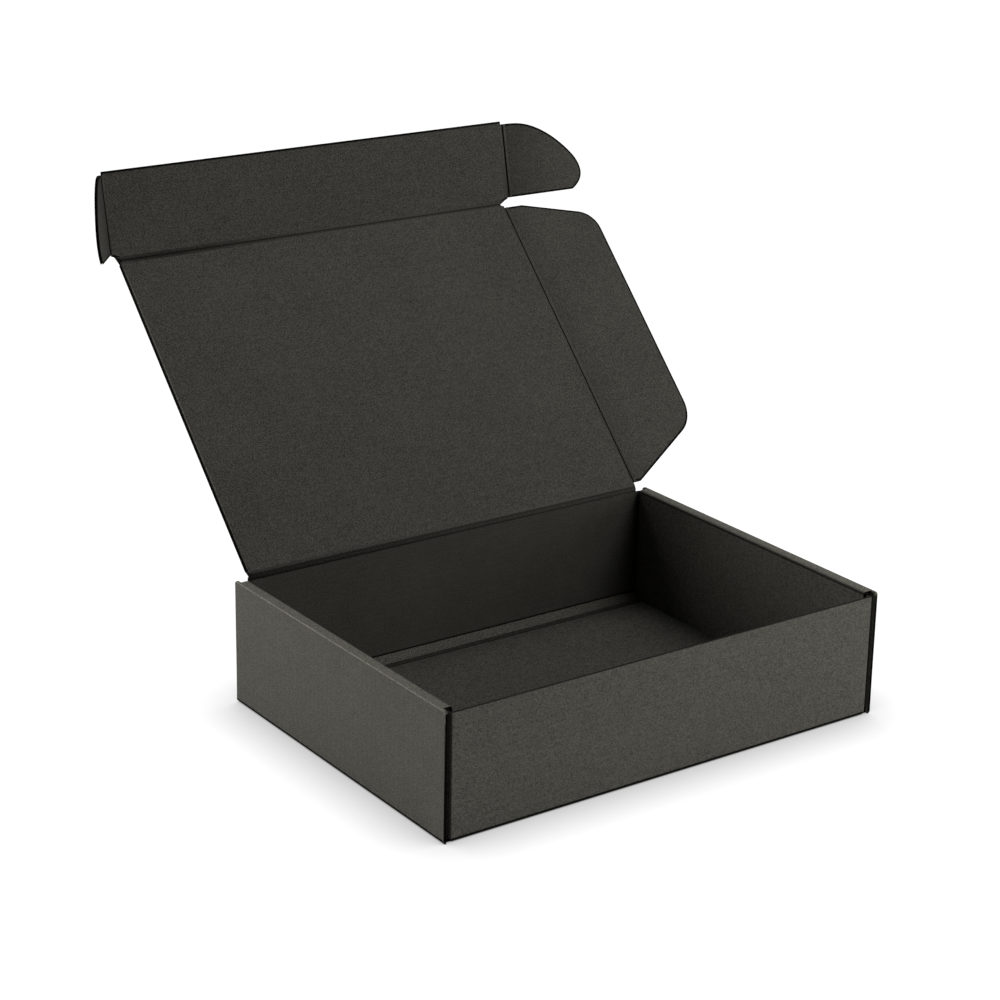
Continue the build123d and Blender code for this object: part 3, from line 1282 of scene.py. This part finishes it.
def add_softbox(name, place, size, power):
    lamp = bpy.data.lights.new(name, "AREA")
    lamp.shape = "RECTANGLE"
    lamp.size, lamp.size_y = size
    lamp.energy = power
    holder = bpy.data.objects.new(name, lamp)
    holder.location = place
    holder.rotation_mode = "QUATERNION"
    holder.rotation_quaternion = (Vector(LIGHT_AIM) - Vector(place)).to_track_quat("-Z", "Y")
    bpy.context.scene.collection.objects.link(holder)


def floor_paint(stage):
    """Pale floor that shows white to the camera; near the box the camera sees a painted contact shadow from
    ambient occlusion, over a faint share of the lamps' real shadow.
    """
    material, tree, shader = new_material("pale_floor")
    shader.inputs["Roughness"].default_value = 0.9
    shader.inputs["Specular IOR Level"].default_value = 0.1
    glow = tree.nodes.new("ShaderNodeEmission")
    path = tree.nodes.new("ShaderNodeLightPath")
    near = tree.nodes.new("ShaderNodeAmbientOcclusion")
    near.samples = 12
    near.inputs["Distance"].default_value = stage.shadow_reach
    seen = maths(tree, "MAXIMUM", path.outputs["Is Camera Ray"], path.outputs["Is Glossy Ray"])
    seen = maths(tree, "MAXIMUM", seen, path.outputs["Is Transmission Ray"])
    lit = maths(tree, "SUBTRACT", 1.0, maths(tree, "MULTIPLY", seen, stage.unseen))
    tree.links.new(tinted(tree, stage.floor, lit), shader.inputs["Base Color"])
    # Painted contact shadow: the floor's glow fades near the box by ambient occlusion
    shadow = maths(tree, "POWER", near.outputs["AO"], stage.shadow_power)
    shown = maths(tree, "MULTIPLY", seen, shadow)
    tree.links.new(maths(tree, "MULTIPLY", shown, stage.glow), glow.inputs["Strength"])
    both = tree.nodes.new("ShaderNodeAddShader")
    tree.links.new(shader.outputs[0], both.inputs[0])
    tree.links.new(glow.outputs[0], both.inputs[1])
    tree.links.new(both.outputs[0], tree.nodes["Material Output"].inputs["Surface"])
    return material


def lay_floor(scene):
    """The plain floor, a hair below the box."""
    bm = bmesh.new()
    bmesh.ops.create_grid(bm, x_segments=2, y_segments=2, size=FLOOR_SIZE)
    mesh = mesh_from(bm, "floor")
    mesh.transform(Matrix.Translation((0, 0, -FLOOR_GAP)))
    mesh.materials.append(floor_paint(scene.box_stage))
    floor = bpy.data.objects.new("floor", mesh)
    scene.collection.objects.link(floor)


def light_surround(scene):
    """Faint even light from all sides."""
    world = bpy.data.worlds.new("studio")
    world.use_nodes = True
    back = world.node_tree.nodes["Background"]
    back.inputs["Color"].default_value = (1, 1, 1, 1)
    back.inputs["Strength"].default_value = scene.box_stage.sky
    scene.world = world


def set_camera(scene):
    """The camera at the photo's place, with a slight roll."""
    lens = bpy.data.cameras.new("camera")
    lens.sensor_width = CAMERA_SENSOR
    lens.lens = CAMERA_LENS
    lens.shift_x, lens.shift_y = CAMERA_SHIFT
    lens.clip_start, lens.clip_end = CAMERA_CLIP
    camera = bpy.data.objects.new("camera", lens)
    ahead = (CAMERA_AIM - CAMERA_PLACE).normalized()
    right = ahead.cross(Vector((0, 0, 1))).normalized()
    down = ahead.cross(right)
    turned_right = right * math.cos(CAMERA_ROLL) + down * math.sin(CAMERA_ROLL)
    turned_down = -right * math.sin(CAMERA_ROLL) + down * math.cos(CAMERA_ROLL)
    turn = Matrix((turned_right, -turned_down, -ahead)).transposed()
    camera.matrix_world = Matrix.Translation(CAMERA_PLACE) @ turn.to_4x4()
    scene.collection.objects.link(camera)
    scene.camera = camera


class BOX_OT_stage(bpy.types.Operator):
    """Set up the floor, the light and the camera"""

    bl_idname = "mailing_box.stage"
    bl_label = "Stage"

    def execute(self, context):
        scene = context.scene
        lay_floor(scene)
        light_surround(scene)
        for name, (place, size) in SOFTBOXES.items():
            add_softbox(name, place, size, getattr(scene.box_stage, name))
        set_camera(scene)
        scene.view_settings.view_transform = "Standard"
        return {"FINISHED"}


class BOX_PT_sidebar(bpy.types.Panel):
    """Buttons and sizes of the mailing box"""

    bl_label = "Mailing box"
    bl_idname = "BOX_PT_sidebar"
    bl_space_type = "VIEW_3D"
    bl_region_type = "UI"
    bl_category = "Mailing box"

    def draw(self, context):
        for operator in OPERATORS:
            self.layout.operator(operator.bl_idname)
        for group in (context.scene.board, context.scene.box_stage):
            for name in group.__annotations__:
                self.layout.prop(group, name)


OPERATORS = (BOX_OT_tray, BOX_OT_lid, BOX_OT_front_flap, BOX_OT_dust_flaps, BOX_OT_ears, BOX_OT_stage)
CLASSES = (BoardSettings, StageSettings, *OPERATORS, BOX_PT_sidebar)


def register():
    for cls in CLASSES:
        bpy.utils.register_class(cls)
    bpy.types.Scene.board = bpy.props.PointerProperty(type=BoardSettings)
    bpy.types.Scene.box_stage = bpy.props.PointerProperty(type=StageSettings)


def unregister():
    del bpy.types.Scene.box_stage
    del bpy.types.Scene.board
    for cls in reversed(CLASSES):
        bpy.utils.unregister_class(cls)


def main():
    register()
    bpy.ops.mailing_box.tray()
    bpy.ops.mailing_box.lid()
    bpy.ops.mailing_box.front_flap()
    bpy.ops.mailing_box.dust_flaps()
    bpy.ops.mailing_box.ears()
    bpy.ops.mailing_box.stage()


if __name__ == "__main__":
    main()
